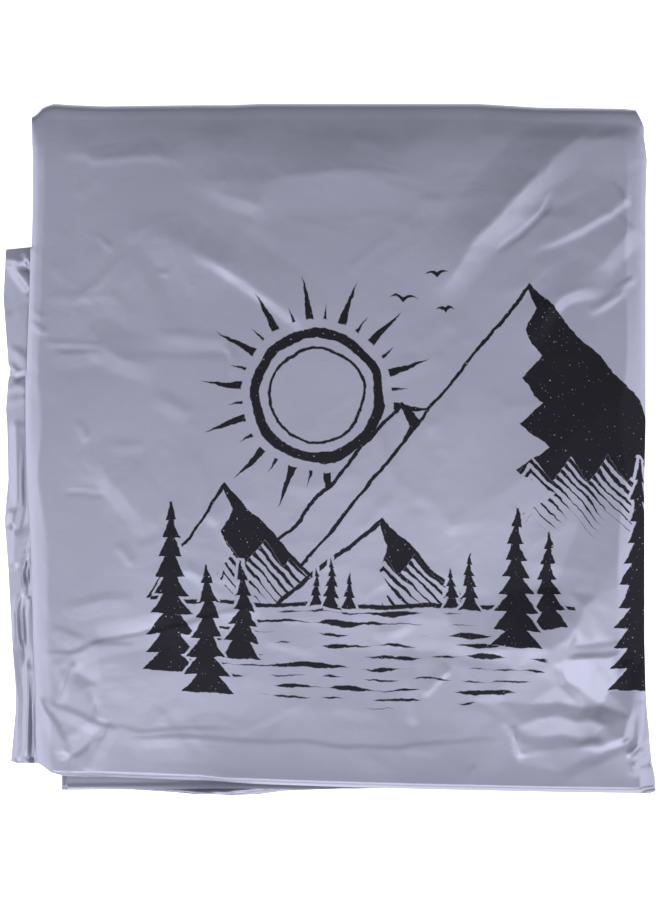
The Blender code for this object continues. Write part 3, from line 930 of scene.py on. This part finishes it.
def blend(tree, kind, share, first, second):
    """Mix of two colours or numbers by a share."""
    socket_type = {"RGBA": "RGBA", "FLOAT": "VALUE"}[kind]
    node = tree.nodes.new("ShaderNodeMix")
    node.data_type = kind
    tree.links.new(share.socket, node.inputs[0])
    sockets = [socket for socket in node.inputs if socket.type == socket_type]
    for socket, value in zip(sockets[-2:], (first, second)):
        if hasattr(value, "is_output"):
            tree.links.new(value, socket)
        else:
            socket.default_value = value
    return next(socket for socket in node.outputs if socket.type == socket_type)


def film_material():
    """Silver-grey film with a soft gloss, slight clouds, fine crinkles and the black print."""
    material = bpy.data.materials.new("silver film")
    material.use_nodes = True
    tree = material.node_tree
    surface = tree.nodes["Principled BSDF"]
    clouds = texture_field(tree, "ShaderNodeTexNoise", CLOUD_SIZE, Detail=3.0)
    ink = draw_print(tree)
    film = blend(tree, "RGBA", clouds, FILM_COLOURS[0], FILM_COLOURS[1])
    tree.links.new(blend(tree, "RGBA", ink, film, INK_COLOUR), surface.inputs["Base Color"])
    gloss = (clouds - 0.5) * FILM_ROUGHNESS_SPREAD + FILM_ROUGHNESS
    tree.links.new(blend(tree, "FLOAT", ink, gloss.socket, INK_ROUGHNESS), surface.inputs["Roughness"])
    surface.inputs["Metallic"].default_value = FILM_METALLIC
    surface.inputs["Specular IOR Level"].default_value = SPECULAR
    folds = texture_field(
        tree, "ShaderNodeTexNoise", CRINKLE_SIZE, Detail=4.0, Roughness=0.5, Distortion=0.5)
    crinkle = abs(folds - 0.5) * (-2.0 * CRINKLE / MM)
    grain = texture_field(tree, "ShaderNodeTexNoise", GRAIN_SIZE, Detail=2.0) * (GRAIN / MM)
    bump = tree.nodes.new("ShaderNodeBump")
    bump.inputs["Strength"].default_value = 1.0
    bump.inputs["Distance"].default_value = MM
    tree.links.new((crinkle + grain).socket, bump.inputs["Height"])
    tree.links.new(bump.outputs["Normal"], surface.inputs["Normal"])
    return material


def floor():
    """Plain white floor, just under the cover."""
    bpy.ops.mesh.primitive_plane_add(size=FLOOR_SIZE, location=(0, 0, -FLOOR_DROP))
    ground = bpy.context.object
    ground.name = "floor"
    material = bpy.data.materials.new("floor white")
    material.use_nodes = True
    surface = material.node_tree.nodes["Principled BSDF"]
    surface.inputs["Base Color"].default_value = (FLOOR_GREY, FLOOR_GREY, FLOOR_GREY, 1.0)
    surface.inputs["Roughness"].default_value = FLOOR_ROUGHNESS
    surface.inputs["Specular IOR Level"].default_value = 0.0
    surface.inputs["Emission Color"].default_value = (1.0, 1.0, 1.0, 1.0)
    surface.inputs["Emission Strength"].default_value = FLOOR_GLOW
    ground.data.materials.append(material)


def aim(item, target):
    """Turn a light or camera to look at a point."""
    direction = np.array(target) - np.array(item.location)
    flat = math.hypot(direction[0], direction[1])
    item.rotation_euler = (math.atan2(flat, -direction[2]), 0.0, math.atan2(-direction[0], direction[1]))


def soft_light(name, around, above, size, power):
    """A square softbox aimed at the cover, from a direction given in degrees around and above it."""
    around, above = math.radians(around), math.radians(above)
    data = bpy.data.lights.new(name, "AREA")
    data.shape = "SQUARE"
    data.size = size
    data.energy = power
    light = bpy.data.objects.new(name, data)
    flat = LIGHT_DISTANCE * math.cos(above)
    light.location = (flat * math.cos(around), flat * math.sin(around), LIGHT_DISTANCE * math.sin(above))
    aim(light, (0, 0, 0))
    bpy.context.scene.collection.objects.link(light)


def studio():
    """Soft light from overhead and from low softboxes around the cover, and a camera straight above."""
    world = bpy.data.worlds.new("studio")
    bpy.context.scene.world = world
    world.use_nodes = True
    world.node_tree.nodes["Background"].inputs["Color"].default_value = (1.0, 1.0, 1.0, 1.0)
    world.node_tree.nodes["Background"].inputs["Strength"].default_value = WORLD_LIGHT
    for name, around, above, size, power in LIGHTS:
        soft_light(name, around, above, size, power)
    data = bpy.data.cameras.new("camera")
    data.sensor_width = CAMERA_SENSOR
    data.lens = data.sensor_width * CAMERA_HEIGHT / (PICTURE_HEIGHT * PLAN_STEP)
    camera = bpy.data.objects.new("camera", data)
    camera.location = (0, 0, CAMERA_HEIGHT)
    bpy.context.scene.collection.objects.link(camera)
    bpy.context.scene.camera = camera
    bpy.context.scene.view_settings.view_transform = "Standard"


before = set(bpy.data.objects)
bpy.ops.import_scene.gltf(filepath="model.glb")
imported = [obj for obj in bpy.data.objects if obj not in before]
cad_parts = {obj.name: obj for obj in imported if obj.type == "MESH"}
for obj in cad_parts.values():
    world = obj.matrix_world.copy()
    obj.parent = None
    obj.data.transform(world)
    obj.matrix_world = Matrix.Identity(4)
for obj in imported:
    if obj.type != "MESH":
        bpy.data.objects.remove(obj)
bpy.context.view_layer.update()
film = cover_sheet()
film.data.materials.append(film_material())
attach(film, "root")
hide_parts("cover")
floor()
studio()
